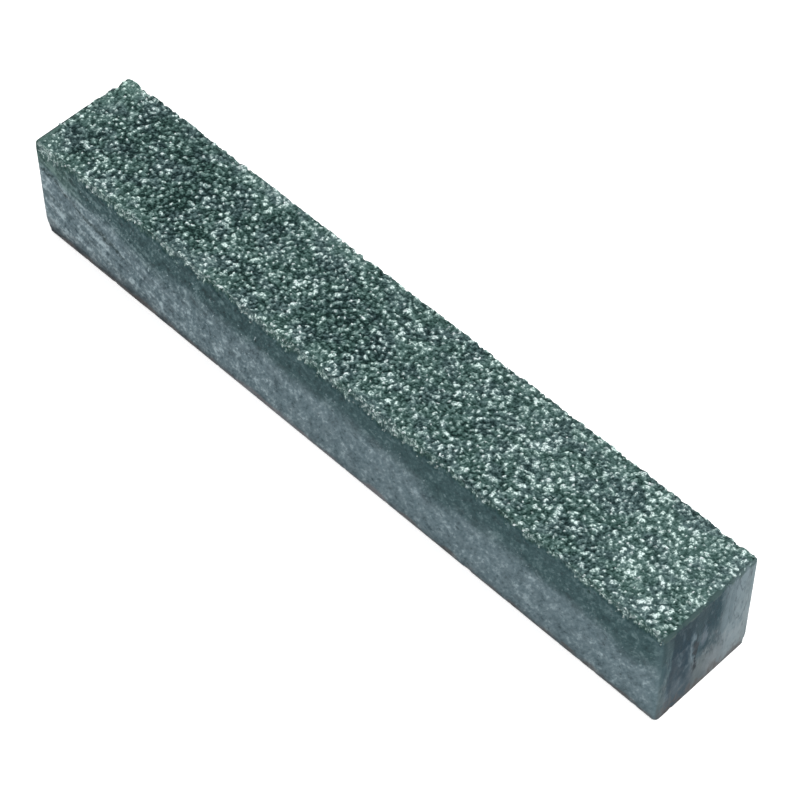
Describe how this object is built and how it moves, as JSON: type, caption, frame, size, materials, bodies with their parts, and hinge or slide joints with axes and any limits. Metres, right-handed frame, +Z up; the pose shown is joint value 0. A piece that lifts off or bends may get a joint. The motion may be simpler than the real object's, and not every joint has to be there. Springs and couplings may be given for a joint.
{
  "type": "sharpening whetstone",
  "caption": "Slim square-section combination whetstone: a coarse open-grained honing face bonded on a finer, smooth-sided stone body.",
  "frame": {"origin": "middle of the underside, on the surface that the stone rests on", "axes": "+X along the bar, +Y across it, +Z up to the coarse honing face"},
  "size_m": [0.15, 0.0226, 0.024],
  "materials": {
    "coarse_grit": "coarse open grain, dark green with pale sparkling grains",
    "bond_resin": "cured resin, dusted with stone slurry",
    "fine_grit": "dense, smooth, streaked slate blue-grey"
  },
  "bodies": {
    "root": {"coarse_grit_layer": "coarse_grit", "bond_line": "bond_resin", "fine_grit_body": "fine_grit"}
  },
  "joints": []
}
